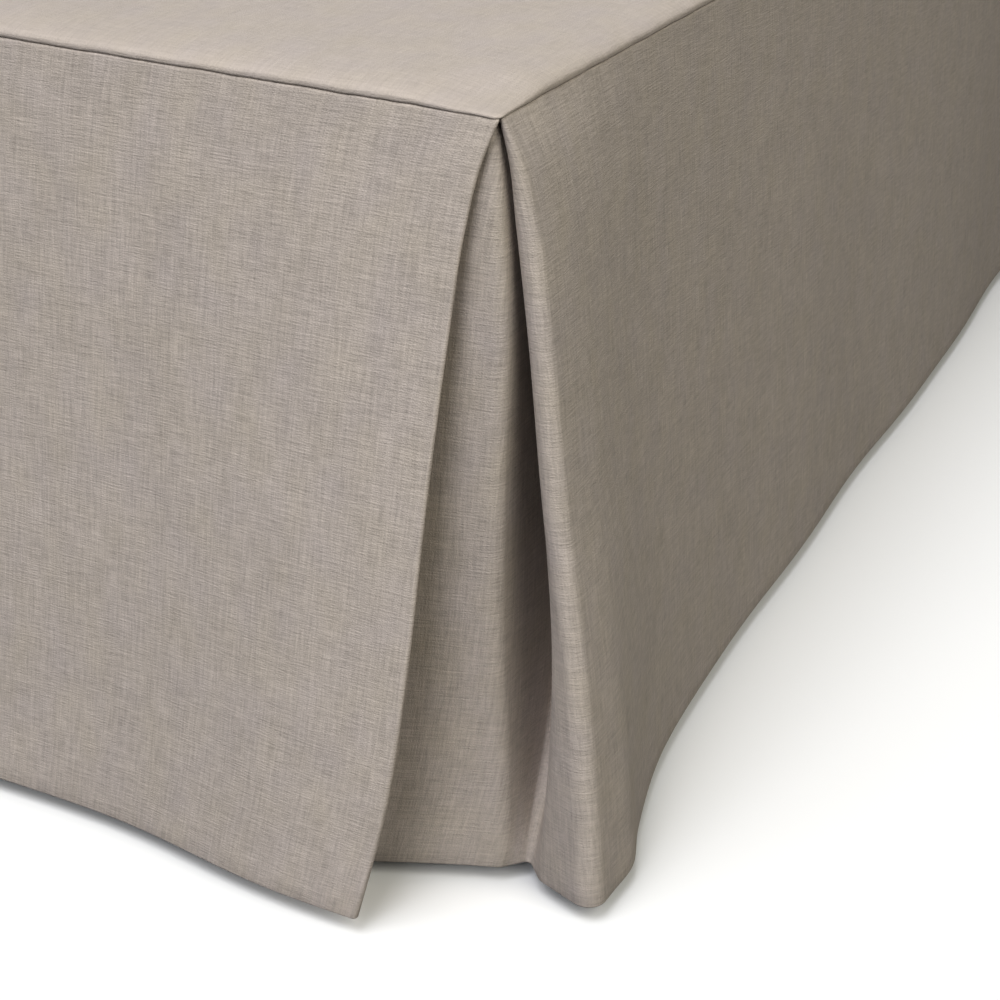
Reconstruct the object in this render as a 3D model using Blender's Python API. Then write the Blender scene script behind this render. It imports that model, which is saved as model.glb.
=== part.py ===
"""A tailored bed skirt over a plain bed base.

The skirt is a deck that lies on the base and three drops sewn round its edge. At each foot corner
the foot drop ends in a pressed crease and turns back behind itself; the side drop ends in a soft
round fold, dips into a valley and carries on behind the foot drop as the recessed underlay. The head
end is open. Metres, +Z up, the foot end at -Y. The origin is on the floor under the middle of the
whole thing.

Every drop is one sheet. Its plan at a given height is a belt led round pegs: each fold of the cloth
is a peg with a place and a radius, and the cloth runs straight from one peg to the next. The pegs
drift apart from the seam down to the hem, which opens the pleat.
"""

import math

import bmesh
import bpy
import numpy as np

MM = 0.001

# ---- driving dimensions -------------------------------------------------------------------------

BASE_WIDTH = 1.524  # queen size, 60 in
BASE_LENGTH = 2.032  # queen size, 80 in
BASE_HEIGHT = 0.220  # a common box base
BASE_CORNER = 0.070  # plan radius of the base's upright edges
BASE_EDGE = 0.010  # radius of its top and bottom edges

DROP = 0.381  # seam to hem, 15 in
HEM_CLEARANCE = 0.010  # hem above the floor
CLOTH = 0.0012  # thickness of a drop
DECK_CLOTH = 0.0015  # thickness of the deck
GAP = 0.0003  # between pieces that touch
SEAM_GROOVE = 0.0007  # between the deck's edge and the top of a drop
SEAM_STANDOFF = 0.007  # the seam stands this far out from the base, over the pleat's three layers

DECK_STAND = 0.0035  # upright strip of the deck above the seam
DECK_ROLL = 0.005  # radius of the rolled edge above that strip
DECK_CORNER = 0.003  # plan radius of the deck's corner at the seam
DECK_CORNER_GROWTH = 4.4  # how much that radius grows for each metre inwards
DECK_CORNER_MOST = 0.030
DECK_RIM = (0.010, 0.016, 0.022, 0.027, 0.032, 0.045, 0.080)  # insets of the flat rim's rings
CORNER_SINK = 0.65  # share of its height over the seam that the deck loses at a foot corner
CORNER_SINK_REACH = 0.050  # the loss ends this far from the corner

FLARE = 0.035  # how far the drops stand out at the hem
SWING_REACH = 0.230  # how far along a panel the pull of its pleat is felt
FOOT_BULGE_REACH, FOOT_BULGE_POWER = 0.105, 3.0  # the foot panel stands out more near its crease
SIDE_BULGE_REACH, SIDE_BULGE_POWER = 0.100, 2.1  # and so does the side panel near its fold
KNEE_HEIGHT, KNEE_POWER = 0.0036, 3.0  # a soft ridge beside the fold: how high at the hem, how late
KNEE_PLACE, KNEE_WIDTH = 0.032, 0.018
RETURN = 0.098  # width of the foot drop's return, from its crease to the hidden join
LAYER_PITCH = 0.0017  # from one layer of pressed cloth to the next
JOIN_SLACK = 0.0006  # the underlay stands this much further off the return at the hem
RETURN_PULL = 0.012  # the return's end stands back this far from the foot panel at the hem
UNDERLAY_BOW = 0.007  # the underlay bows outwards this far at the hem
BOW_PEAK = 4 / 27  # the most that p^2 (1 - p) reaches, two thirds of the way along

LEG_INSET = 0.110
LEG_TOP_RADIUS, LEG_FOOT_RADIUS = 0.030, 0.021
LEG_EDGE = 0.003

SEAM_X = BASE_WIDTH / 2 + SEAM_STANDOFF
SEAM_Y = BASE_LENGTH / 2 + SEAM_STANDOFF
SEAM_Z = HEM_CLEARANCE + DROP
DECK_TOP = SEAM_Z + DECK_STAND + DECK_ROLL
BASE_TOP = DECK_TOP - DECK_CLOTH - GAP
BASE_BOTTOM = BASE_TOP - BASE_HEIGHT
HEAD_Y = BASE_LENGTH / 2

# ---- the pleat ----------------------------------------------------------------------------------

# Pegs in mm from the seam corner: "out" from the face the panel hangs on, "back" along that face
# away from the corner, and the radius of the cloth's mid surface. A column for each share of the
# drop, from the seam to the hem. The crease hangs on the foot face, the others on the side face.
SHARES = (0.00, 0.05, 0.12, 0.25, 0.45, 0.65, 0.85, 1.00)
PEGS = {
    "crease": {
        "out": (-1.5, 0.9, 4.3, 10.6, 20.2, 29.8, 39.5, 46.6),
        "back": (1.9, 8.3, 13.1, 17.0, 21.2, 24.0, 30.0, 40.6),
        "radius": (0.85, 0.9, 1.0, 1.1, 1.3, 1.5, 1.7, 1.9),
    },
    "fold": {
        "out": (-1.5, 3.8, 8.3, 16.0, 26.2, 38.0, 46.8, 52.0),
        "back": (4.8, 9.5, 13.5, 15.2, 16.5, 17.5, 19.0, 20.0),
        "radius": (0.85, 2.9, 4.9, 5.6, 6.2, 6.9, 8.4, 9.4),
    },
    "shoulder": {
        "out": (-1.55, 3.76, 8.2, 15.7, 25.3, 36.2, 41.5, 32.5),
        "back": (7.8, 12.5, 16.5, 18.2, 19.4, 21.7, 28.5, 28.0),
        "radius": (0.85, 2.9, 4.9, 5.6, 6.2, 9.5, 15.8, 10.0),
    },
    "valley": {
        "out": (-3.2, -1.6, 0.0, 2.6, 6.0, 10.5, 13.8, 15.8),
        "back": (98.0, 97.0, 96.0, 95.0, 92.0, 82.0, 55.0, 26.5),
        "radius": (0.85, 1.2, 1.6, 2.6, 4.2, 5.2, 4.3, 3.4),
    },
    "turn": {
        "out": (-10.0, -6.6, -4.2, -2.6, -4.7, -7.0, -4.5, -0.5),
        "back": (10.0, 7.6, 7.4, 9.5, 14.0, 21.0, 27.8, 27.7),
        "radius": (6.0, 4.4, 4.6, 5.9, 7.4, 9.4, 10.0, 9.3),
    },
}
ANTICLOCKWISE, CLOCKWISE = 1, -1

# Slow, uneven waves of a long panel: height at the hem, length and place of each.
WAVES = (
    {"height": 0.0016, "length": 0.61, "shift": 0.13},
    {"height": 0.0011, "length": 0.37, "shift": 0.29},
    {"height": 0.0007, "length": 0.23, "shift": 0.05},
)
WAVE_FADE = 0.160  # the waves die away over this length before a fold
FOOT_WAVE_START, RIGHT_WAVE_START, LEFT_WAVE_START = 0.6, 0.5, 0.7

ROWS = (0.0, 0.025, 0.05, 0.085, 0.12, 0.18, 0.25, 0.35, 0.45, 0.58, 0.72, 0.85, 0.93, 1.0)
PANEL_COLUMNS = 22
PANEL_GRADING = 2.4  # columns crowd towards the fold
DECK_SIDE_COLUMNS, DECK_FOOT_COLUMNS, DECK_CORNER_COLUMNS = 13, 11, 7
FOLD_STEPS, SHOULDER_STEPS, VALLEY_STEPS, TURN_STEPS, CREASE_STEPS = 7, 5, 6, 4, 6
RUN_STEPS, UNDERLAY_STEPS = 2, 4

LINEN = (0.434, 0.392, 0.342)
TICKING = (0.62, 0.59, 0.54)
WOOD = (0.205, 0.118, 0.064)


# ---- helpers ------------------------------------------------------------------------------------


def clear_scene():
    for thing in list(bpy.data.objects):
        bpy.data.objects.remove(thing, do_unlink=True)


def plain_material(name, colour, roughness):
    material = bpy.data.materials.new(name)
    material.use_nodes = True
    shader = material.node_tree.nodes["Principled BSDF"]
    shader.inputs["Base Color"].default_value = (*colour, 1.0)
    shader.inputs["Roughness"].default_value = roughness
    shader.inputs["Metallic"].default_value = 0.0
    return material


def new_object(name, mesh, material):
    thing = bpy.data.objects.new(name, mesh)
    bpy.context.scene.collection.objects.link(thing)
    mesh.materials.append(material)
    return thing


def glide(values, at):
    """Smooth curve through one peg value per share, read at other shares (Hermite pieces)."""
    shares = np.array(SHARES)
    values = np.array(values) * MM
    slopes = np.gradient(values, shares)
    i = np.clip(np.searchsorted(shares, at, side="right") - 1, 0, len(shares) - 2)
    width = shares[i + 1] - shares[i]
    f = (at - shares[i]) / width
    return (
        values[i] * (1 + 2 * f) * (1 - f) ** 2
        + values[i + 1] * f**2 * (3 - 2 * f)
        + width * (slopes[i] * f * (1 - f) ** 2 - slopes[i + 1] * f**2 * (1 - f))
    )


def peg(name, share):
    """One fold of the cloth at every row: out, back and radius."""
    return np.stack([glide(PEGS[name][part], share) for part in ("out", "back", "radius")], axis=1)


def point_peg(out, back):
    """A peg with no radius: where a belt starts or ends."""
    return np.stack([out, back, np.zeros_like(out)], axis=1)


def left_of(heading):
    return np.stack([-np.sin(heading), np.cos(heading)], axis=-1)


def belt(pegs, senses, arc_steps, run_steps):
    """The path of a belt round pegs, one path per row, which starts where its first run ends.

    A run between two pegs is their common tangent. Its heading is the bearing from peg to peg less
    asin((s2 r2 - s1 r1) / distance), with s = 1 for a peg passed anticlockwise and -1 clockwise.
    On a peg the path is centre - s r left(heading), while the heading turns from run to run.
    """
    headings = []
    for (a, s1), (b, s2) in zip(zip(pegs, senses), zip(pegs[1:], senses[1:])):
        step = b[:, :2] - a[:, :2]
        bearing = np.arctan2(step[:, 1], step[:, 0])
        lean = np.arcsin((s2 * b[:, 2] - s1 * a[:, 2]) / np.hypot(step[:, 0], step[:, 1]))
        headings.append(bearing - lean)
    pieces = []
    for j in range(1, len(pegs) - 1):
        turn = (senses[j] * (headings[j] - headings[j - 1])) % (2 * math.pi)
        turn = senses[j] * np.where(turn > 1.75 * math.pi, turn - 2 * math.pi, turn)
        part = np.linspace(0, 1, arc_steps[j - 1] + 1)
        heading = headings[j - 1][:, None] + turn[:, None] * part
        centre, radius = pegs[j][:, None, :2], pegs[j][:, None, 2:]
        pieces.append(centre - senses[j] * radius * left_of(heading))
    path = [pieces[0]]
    for piece, steps in zip(pieces[1:] + [pegs[-1][:, None, :2]], run_steps):
        start, end = path[-1][:, -1:], piece[:, :1]
        part = np.linspace(0, 1, steps + 1)[1:-1, None]
        path += [start + (end - start) * part, piece]
    return np.concatenate(path, axis=1)


def panel(far, tangent, share, bulge_reach, bulge_power, wave_line):
    """The plain panel, from its far end up to the first fold's tangent point, and the distances.

    Distance from the fold d = d0 - swing (1 - exp(-d0 / SWING_REACH)): threads near the fold swing
    with it, and far ones stay put. The panel leaves the straight line to the fold by
    bulge (exp(-(d / reach) ** power) - 1 + d / length), so it stands out only near the fold.
    The waves' place along the edge is start + sense * back, with (start, sense) = wave_line.
    """
    away = far - tangent
    length = np.hypot(away[:, 0], away[:, 1])[:, None]
    grade = np.linspace(1, 0, PANEL_COLUMNS + 1)[:-1] ** PANEL_GRADING
    d0 = length[0] * grade
    d = d0 - (length[0] - length) * (1 - np.exp(-d0 / SWING_REACH))
    d[:, 0] = length[:, 0]
    line = tangent[:, None] + (away / length)[:, None] * d[..., None]
    bulge = (tangent - far)[:, :1]
    off = bulge * (np.exp(-((d / bulge_reach) ** bulge_power)) - 1 + d / length)
    start, sense = wave_line
    for wave in WAVES:
        phase = 2 * math.pi * (start + sense * line[..., 1] + wave["shift"]) / wave["length"]
        off += wave["height"] * share[:, None] * np.sin(phase) * (1 - np.exp(-((d / WAVE_FADE) ** 2)))
    line[..., 0] += off
    return line, d


def panel_end(share, back):
    """The far end of a panel at every row: out by the flare, and this far back."""
    return np.stack([FLARE * share - CLOTH / 2, np.full_like(share, back)], axis=1)


# ---- the cloth ----------------------------------------------------------------------------------


def foot_half(share, wave_line):
    """Foot drop from its middle to the end of its return: out and back from one corner."""
    far = panel_end(share, SEAM_X)
    crease = peg("crease", share)
    end_out = crease[:, 0] - crease[:, 2] - RETURN_PULL * share
    end_back = crease[:, 1] + np.sqrt(RETURN**2 - (RETURN_PULL * share) ** 2)
    pegs = [point_peg(*far.T), crease, point_peg(end_out, end_back)]
    fold = belt(pegs, (0, CLOCKWISE, 0), (CREASE_STEPS,), (UNDERLAY_STEPS,))
    plain, _ = panel(far, fold[:, 0], share, FOOT_BULGE_REACH, FOOT_BULGE_POWER, wave_line)
    return np.concatenate([plain, fold], axis=1)


def side_path(share, wave_start):
    """Side drop from the head end to the hidden end of the underlay: out and back from the corner."""
    far = panel_end(share, HEAD_Y + SEAM_Y)
    join = foot_half(share, (0.0, 1))[:, -1]
    end_out = -join[:, 1]
    end_back = -join[:, 0] + LAYER_PITCH + JOIN_SLACK * share
    pegs = [
        point_peg(*far.T),
        peg("fold", share),
        peg("shoulder", share),
        peg("valley", share),
        peg("turn", share),
        point_peg(end_out, end_back),
    ]
    senses = (0, CLOCKWISE, CLOCKWISE, ANTICLOCKWISE, CLOCKWISE, 0)
    steps = (FOLD_STEPS, SHOULDER_STEPS, VALLEY_STEPS, TURN_STEPS)
    fold = belt(pegs, senses, steps, (1, RUN_STEPS, RUN_STEPS, UNDERLAY_STEPS))
    part = np.linspace(0, 1, UNDERLAY_STEPS + 1)
    bow = UNDERLAY_BOW * share[:, None] * part**2 * (1 - part) / BOW_PEAK
    fold[:, -len(part) :, 1] -= bow
    wave_line = (wave_start, 1)
    plain, d = panel(far, fold[:, 0], share, SIDE_BULGE_REACH, SIDE_BULGE_POWER, wave_line)
    knee = KNEE_HEIGHT * share[:, None] ** KNEE_POWER
    plain[..., 0] += knee * np.exp(-(((d - KNEE_PLACE) / KNEE_WIDTH) ** 2))
    return np.concatenate([plain, fold], axis=1)


def hung_sheet(name, plan, share, outside_first, material):
    """A drop: its plan carried down from the seam, given its thickness to both sides."""
    rows, columns, _ = plan.shape
    hang = SEAM_GROOVE + (DROP - SEAM_GROOVE) * share
    height = np.broadcast_to((SEAM_Z - hang)[:, None, None], (rows, columns, 1))
    points = np.concatenate([plan, height], axis=2).reshape(-1, 3)
    faces = []
    for r in range(rows - 1):
        for c in range(columns - 1):
            a = r * columns + c
            face = (a, a + columns, a + columns + 1, a + 1)
            faces.append(face if outside_first else face[::-1])
    mesh = bpy.data.meshes.new(name)
    mesh.from_pydata(points.tolist(), [], faces)
    mesh.shade_smooth()
    drop = new_object(name, mesh, material)
    thicken = drop.modifiers.new("Thickness", "SOLIDIFY")
    thicken.thickness = CLOTH
    thicken.offset = 0
    return drop


def build_foot_drop(material):
    share = np.array(ROWS)
    right = foot_half(share, (FOOT_WAVE_START, 1))
    left = foot_half(share, (FOOT_WAVE_START + 2 * SEAM_X, -1))
    right_plan = np.stack([SEAM_X - right[..., 1], -SEAM_Y - right[..., 0]], axis=2)
    left_plan = np.stack([left[..., 1] - SEAM_X, -SEAM_Y - left[..., 0]], axis=2)
    middle = (right_plan[:, :1] + left_plan[:, :1]) / 2
    plan = np.concatenate([left_plan[:, :0:-1], middle, right_plan[:, 1:]], axis=1)
    return hung_sheet("foot_drop", plan, share, True, material)


def build_side_drop(side_name, side, wave_start):
    name = f"side_drop_{side_name}"
    share = np.array(ROWS)
    path = side_path(share, wave_start)
    plan = np.stack([side * (SEAM_X + path[..., 0]), -SEAM_Y + path[..., 1]], axis=2)
    return hung_sheet(name, plan, share, side < 0, plain_material(name, LINEN, 0.9))


def deck_ring(inset, height):
    """One ring of the deck's outer face: from the head end's right side round the foot to its left.

    A point rho from the nearest foot corner keeps 1 - CORNER_SINK (1 - (rho / reach)^2)^2 of its
    height over the seam.
    """
    radius = min(DECK_CORNER + DECK_CORNER_GROWTH * inset, DECK_CORNER_MOST)
    edge_x, edge_y = SEAM_X - inset, -SEAM_Y + inset
    turn_x, turn_y = edge_x - radius, edge_y + radius
    quarter = np.linspace(0, math.pi / 2, DECK_CORNER_COLUMNS)
    side_grade = np.linspace(1, 0, DECK_SIDE_COLUMNS + 1)[:-1] ** PANEL_GRADING
    foot_grade = np.linspace(0, 1, DECK_FOOT_COLUMNS + 1)[1:] ** PANEL_GRADING
    side = np.column_stack([np.full_like(side_grade, edge_x), turn_y + (HEAD_Y - turn_y) * side_grade])
    corner = np.column_stack([turn_x + radius * np.cos(quarter), turn_y - radius * np.sin(quarter)])
    foot = np.column_stack([turn_x * (1 - foot_grade), np.full_like(foot_grade, edge_y)])
    half = np.concatenate([side, corner, foot])
    rho = np.hypot(half[:, 0] - SEAM_X, half[:, 1] + SEAM_Y)
    near = 1 - np.minimum(rho / CORNER_SINK_REACH, 1) ** 2
    half = np.column_stack([half, SEAM_Z + height * (1 - CORNER_SINK * near**2)])
    return np.concatenate([half, half[-2::-1] * (-1, 1, 1)])


def build_deck(material):
    """The deck's outer face as rings, from the seam up over the roll and in across the flat rim."""
    angle = np.radians((0, 22.5, 45, 67.5, 90))
    insets = np.concatenate([[0], DECK_ROLL * (1 - np.cos(angle)), DECK_RIM])
    heights = np.concatenate(
        [[0], DECK_STAND + DECK_ROLL * np.sin(angle), np.full(len(DECK_RIM), DECK_TOP - SEAM_Z)]
    )
    rings = [deck_ring(inset, height) for inset, height in zip(insets, heights)]
    count = len(rings[0])
    faces = [
        (k * count + c, (k + 1) * count + c, (k + 1) * count + c + 1, k * count + c + 1)
        for k in range(len(rings) - 1)
        for c in range(count - 1)
    ]
    faces.append(tuple(reversed(range((len(rings) - 1) * count, len(rings) * count))))
    mesh = bpy.data.meshes.new("deck")
    mesh.from_pydata(np.concatenate(rings).tolist(), [], faces)
    mesh.shade_smooth()
    mesh.set_sharp_from_angle(angle=math.radians(40))
    deck = new_object("deck", mesh, material)
    thicken = deck.modifiers.new("Thickness", "SOLIDIFY")
    thicken.thickness = DECK_CLOTH
    thicken.offset = -1
    return deck


# ---- the base -----------------------------------------------------------------------------------


def build_base(material):
    shape = bmesh.new()
    bmesh.ops.create_cube(shape, size=1.0)
    bmesh.ops.scale(shape, vec=(BASE_WIDTH, BASE_LENGTH, BASE_HEIGHT), verts=shape.verts)
    upright = [e for e in shape.edges if abs(e.verts[0].co.z - e.verts[1].co.z) > BASE_HEIGHT / 2]
    bmesh.ops.bevel(shape, geom=upright, offset=BASE_CORNER, segments=6, affect="EDGES", profile=0.5)
    level = [
        e
        for e in shape.edges
        if abs(e.verts[0].co.z - e.verts[1].co.z) < MM
        and abs(abs(e.verts[0].co.z) - BASE_HEIGHT / 2) < MM
        and len(e.link_faces) == 2
        and abs(e.link_faces[0].normal.z - e.link_faces[1].normal.z) > 0.5
    ]
    bmesh.ops.bevel(shape, geom=level, offset=BASE_EDGE, segments=4, affect="EDGES", profile=0.5)
    mesh = bpy.data.meshes.new("base_box")
    shape.to_mesh(mesh)
    shape.free()
    mesh.shade_smooth()
    mesh.set_sharp_from_angle(angle=math.radians(40))
    base = new_object("base_box", mesh, material)
    base.location = (0, 0, BASE_TOP - BASE_HEIGHT / 2)
    return base


def leg_mesh():
    height = BASE_BOTTOM - GAP
    shape = bmesh.new()
    bmesh.ops.create_cone(
        shape,
        cap_ends=True,
        segments=24,
        radius1=LEG_FOOT_RADIUS,
        radius2=LEG_TOP_RADIUS,
        depth=height,
    )
    bmesh.ops.translate(shape, vec=(0, 0, height / 2), verts=shape.verts)
    rims = [e for e in shape.edges if abs(e.verts[0].co.z - e.verts[1].co.z) < MM]
    bmesh.ops.bevel(shape, geom=rims, offset=LEG_EDGE, segments=2, affect="EDGES", profile=0.5)
    mesh = bpy.data.meshes.new("leg")
    shape.to_mesh(mesh)
    shape.free()
    mesh.shade_smooth()
    mesh.set_sharp_from_angle(angle=math.radians(35))
    return mesh


def build_legs():
    side_places = {"right": BASE_WIDTH / 2 - LEG_INSET, "left": LEG_INSET - BASE_WIDTH / 2}
    end_places = {"foot": LEG_INSET - HEAD_Y, "middle": 0.0, "head": HEAD_Y - LEG_INSET}
    legs = []
    for end, y in end_places.items():
        for side, x in side_places.items():
            name = f"leg_{end}_{side}"
            leg = new_object(name, leg_mesh(), plain_material(name, WOOD, 0.45))
            leg.location = (x, y, 0)
            legs.append(leg)
    return legs


def centre_over_floor(things):
    """Moves everything along Y, so that the origin is under the middle of the whole thing.

    The foot panel reaches out past the base by its crease at the hem, and nothing does at the head.
    """
    foot_reach = SEAM_Y + (PEGS["crease"]["out"][-1] + PEGS["crease"]["radius"][-1]) * MM + CLOTH / 2
    shift = (foot_reach - HEAD_Y) / 2
    for thing in things:
        thing.location.y += shift


def main():
    clear_scene()
    things = [
        build_deck(plain_material("deck", LINEN, 0.9)),
        build_foot_drop(plain_material("foot_drop", LINEN, 0.9)),
        build_side_drop("right", 1, RIGHT_WAVE_START),
        build_side_drop("left", -1, LEFT_WAVE_START),
        build_base(plain_material("base_box", TICKING, 0.85)),
    ]
    things += build_legs()
    centre_over_floor(things)


main()
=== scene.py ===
# %% [markdown]
# # A tailored bed skirt over a bed base
#
# A bed skirt hides the base of a bed. A flat deck lies under the mattress, and a drop is sewn to each
# open edge of it. At each foot corner the cloth is folded into an inverted pleat, so that the skirt
# can turn the corner and still hang flat. This lesson builds the cloth as thin sheets worked out on
# grids, weaves a linen for it out of noise, and lights it as in a small studio.
#
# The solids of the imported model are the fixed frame. Every size that they hold is read from them, and
# every new piece stands where its solid stands.

import math

import bpy
import numpy as np
from mathutils import Matrix, Vector


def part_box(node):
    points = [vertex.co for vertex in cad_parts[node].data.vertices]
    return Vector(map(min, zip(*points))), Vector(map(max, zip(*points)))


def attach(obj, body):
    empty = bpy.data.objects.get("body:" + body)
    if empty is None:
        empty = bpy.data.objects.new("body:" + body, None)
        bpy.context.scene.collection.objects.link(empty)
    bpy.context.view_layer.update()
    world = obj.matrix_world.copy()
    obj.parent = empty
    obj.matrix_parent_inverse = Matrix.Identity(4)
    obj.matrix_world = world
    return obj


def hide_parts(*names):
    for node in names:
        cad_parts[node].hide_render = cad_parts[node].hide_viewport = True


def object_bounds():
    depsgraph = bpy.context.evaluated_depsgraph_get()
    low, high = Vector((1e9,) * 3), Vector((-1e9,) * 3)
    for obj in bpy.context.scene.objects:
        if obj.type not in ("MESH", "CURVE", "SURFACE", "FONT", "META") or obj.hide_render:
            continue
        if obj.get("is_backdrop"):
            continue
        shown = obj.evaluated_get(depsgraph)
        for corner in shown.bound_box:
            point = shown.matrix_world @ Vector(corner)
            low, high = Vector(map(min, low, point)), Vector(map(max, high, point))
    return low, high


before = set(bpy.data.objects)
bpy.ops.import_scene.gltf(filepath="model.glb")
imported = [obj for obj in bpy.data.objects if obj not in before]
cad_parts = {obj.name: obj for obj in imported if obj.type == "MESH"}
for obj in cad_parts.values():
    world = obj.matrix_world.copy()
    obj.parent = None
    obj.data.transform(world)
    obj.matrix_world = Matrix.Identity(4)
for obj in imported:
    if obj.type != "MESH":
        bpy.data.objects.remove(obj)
cad_box = [list(corner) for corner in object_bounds()]
print("nodes:", ", ".join(sorted(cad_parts)))
print("CAD box, m:", cad_box)

# %% Sizes that the frame gives
MM = 0.001
deck_low, deck_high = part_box("deck")
base_low, base_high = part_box("base_box")

SEAM_X = deck_high.x  # half the width at the seam
FOOT_Y = deck_low.y  # the foot seam
HEAD_Y = deck_high.y  # the open head end
SEAM_Z = deck_low.z
DECK_TOP = deck_high.z
HEM_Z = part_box("foot_drop")[0].z
DROP = SEAM_Z - HEM_Z
SIDE_LENGTH = HEAD_Y - FOOT_Y
print(f"drop {DROP / MM:.0f} mm, top {DECK_TOP / MM:.0f} mm high")
print(f"deck {2 * SEAM_X:.3f} by {SIDE_LENGTH:.3f} m")

# %% [markdown]
# ## Camera
#
# The camera stands off the right foot corner and a little above it, and looks down at the pleat. The
# corner of the seam is the one sharp point of the object, so the camera's place is given from there.
# Three turns aim it: a turn about the upright axis, a tilt down from level, and a slight roll about
# its own line of sight.

# %% Camera
CAMERA_FROM_CORNER = Vector((0.32128, -0.69835, 0.21634))
CAMERA_TURN, CAMERA_DIP, CAMERA_ROLL = (math.radians(a) for a in (24.272, 26.675, 2.194))
CAMERA_LENS = 70.705

corner = Vector((SEAM_X, FOOT_Y, SEAM_Z))
camera_data = bpy.data.cameras.new("camera")
camera_data.sensor_width = 36.0
camera_data.lens = CAMERA_LENS
camera_data.clip_start = 0.05
camera = bpy.data.objects.new("camera", camera_data)
bpy.context.scene.collection.objects.link(camera)
camera.matrix_world = (
    Matrix.Translation(corner + CAMERA_FROM_CORNER)
    @ Matrix.Rotation(CAMERA_TURN, 4, "Z")
    @ Matrix.Rotation(math.pi / 2 - CAMERA_DIP, 4, "X")
    @ Matrix.Rotation(CAMERA_ROLL, 4, "Z")
)
bpy.context.scene.camera = camera
print("camera at", [round(v, 3) for v in camera.matrix_world.translation])

# %% [markdown]
# ## Floor and light
#
# Linen is matt, so light shows its form by slow changes of tone alone. Three wide, soft lights do it: a
# key from the left, a weaker one from the front, and a fill from the right that keeps the side in half
# shade. None of them looks straight into the pleat, so its slot goes dark. For the same reason the pale
# floor throws no light back up: it is hidden from the bounced rays. A low light at the back only lifts
# the two far sides. The sky is bright to the eye only, so that a low view ends in a pale horizon, and
# adds a trace of light to the cloth.

# %% Floor and light
FLOOR_HALF = 5.0
FLOOR_TONE = 0.90
# Azimuth in degrees from the foot end's front towards the right, elevation, softness, distance,
# strength and colour. The near fill falls off a little along the side.
LIGHTS = {
    "key": (-14.0, 64.0, 36.0, 11.0, 1.72, (0.955, 0.965, 1.00)),
    "front": (-2.0, 28.0, 34.0, 9.0, 1.05, (0.955, 0.965, 1.00)),
    "fill": (65.0, 38.0, 46.0, 3.2, 1.60, (1.00, 0.98, 0.88)),
    "back": (215.0, 12.0, 20.0, 9.0, 0.45, (0.98, 0.98, 1.00)),
}
SKY_GLOW, SKY_FILL = 0.95, 0.03


def shader_of(material):
    """The node that gives a material its surface."""
    return material.node_tree.nodes["Principled BSDF"]


def new_material(name, roughness):
    """A material with a Principled shader whose steady values stand on its own sockets."""
    material = bpy.data.materials.new(name)
    material.use_nodes = True
    shader_of(material).inputs["Roughness"].default_value = roughness
    return material


def make_floor():
    """A flat square with its middle under the bed."""
    mesh = bpy.data.meshes.new("floor")
    corners = [(x * FLOOR_HALF, y * FLOOR_HALF, 0.0) for x, y in ((-1, -1), (1, -1), (1, 1), (-1, 1))]
    mesh.from_pydata(corners, [], [(0, 1, 2, 3)])
    floor = bpy.data.objects.new("floor", mesh)
    bpy.context.scene.collection.objects.link(floor)
    paint = new_material("pale floor", 0.9)
    shader_of(paint).inputs["Base Color"].default_value = (FLOOR_TONE, FLOOR_TONE, FLOOR_TONE, 1)
    shader_of(paint).inputs["Specular IOR Level"].default_value = 0.0
    mesh.materials.append(paint)
    floor.visible_diffuse = False
    floor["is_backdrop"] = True


def make_light(name, azimuth, elevation, softness, distance, strength, colour):
    """A lit disc that faces the pleat's corner and looks as wide as its softness from there.

    Azimuth, elevation and softness are in degrees. The disc gives the corner as much light as a sun
    of that strength: power = strength pi (distance^2 + radius^2).
    """
    azimuth, elevation = math.radians(azimuth), math.radians(elevation)
    level = math.cos(elevation)
    towards = Vector((level * math.sin(azimuth), -level * math.cos(azimuth), math.sin(elevation)))
    radius = distance * math.tan(math.radians(softness) / 2)
    data = bpy.data.lights.new(name, "AREA")
    data.shape = "DISK"
    data.size = 2 * radius
    data.energy = strength * math.pi * (distance**2 + radius**2)
    data.color = colour
    light = bpy.data.objects.new(name, data)
    light.location = Vector((SEAM_X, FOOT_Y, SEAM_Z)) + distance * towards
    light.rotation_euler = towards.to_track_quat("Z", "Y").to_euler()
    light.visible_camera = False
    bpy.context.scene.collection.objects.link(light)


def make_sky():
    """White to the camera, and nearly dark to every other ray."""
    sky = bpy.data.worlds.new("sky")
    sky.use_nodes = True
    nodes, links = sky.node_tree.nodes, sky.node_tree.links
    seen = nodes.new("ShaderNodeLightPath").outputs["Is Camera Ray"]
    strength = nodes.new("ShaderNodeMapRange")
    links.new(seen, strength.inputs["Value"])
    strength.inputs["To Min"].default_value = SKY_FILL
    strength.inputs["To Max"].default_value = SKY_GLOW
    nodes["Background"].inputs["Color"].default_value = (1, 1, 1, 1)
    links.new(strength.outputs["Result"], nodes["Background"].inputs["Strength"])
    bpy.context.scene.world = sky


make_floor()
for name, settings in LIGHTS.items():
    make_light(name, *settings)
make_sky()
bpy.context.scene.view_settings.view_transform = "Standard"
bpy.context.scene.view_settings.look = "Medium High Contrast"
print("lights:", ", ".join(LIGHTS))

# %% [markdown]
# ## Node helpers
#
# A procedural cloth is many small patterns added up. A few helpers keep its node tree readable. The
# first adds a node and fills its sockets, and the others each stand for one pattern or one step.

# %% Node helpers


def add_node(tree, kind, inputs=None, **settings):
    """Adds a node. A socket in inputs is linked, and any other value is set on the node."""
    node = tree.nodes.new(kind)
    for name, value in settings.items():
        setattr(node, name, value)
    for name, value in (inputs or {}).items():
        if isinstance(value, bpy.types.NodeSocket):
            tree.links.new(value, node.inputs[name])
        else:
            node.inputs[name].default_value = value
    return node


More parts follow.
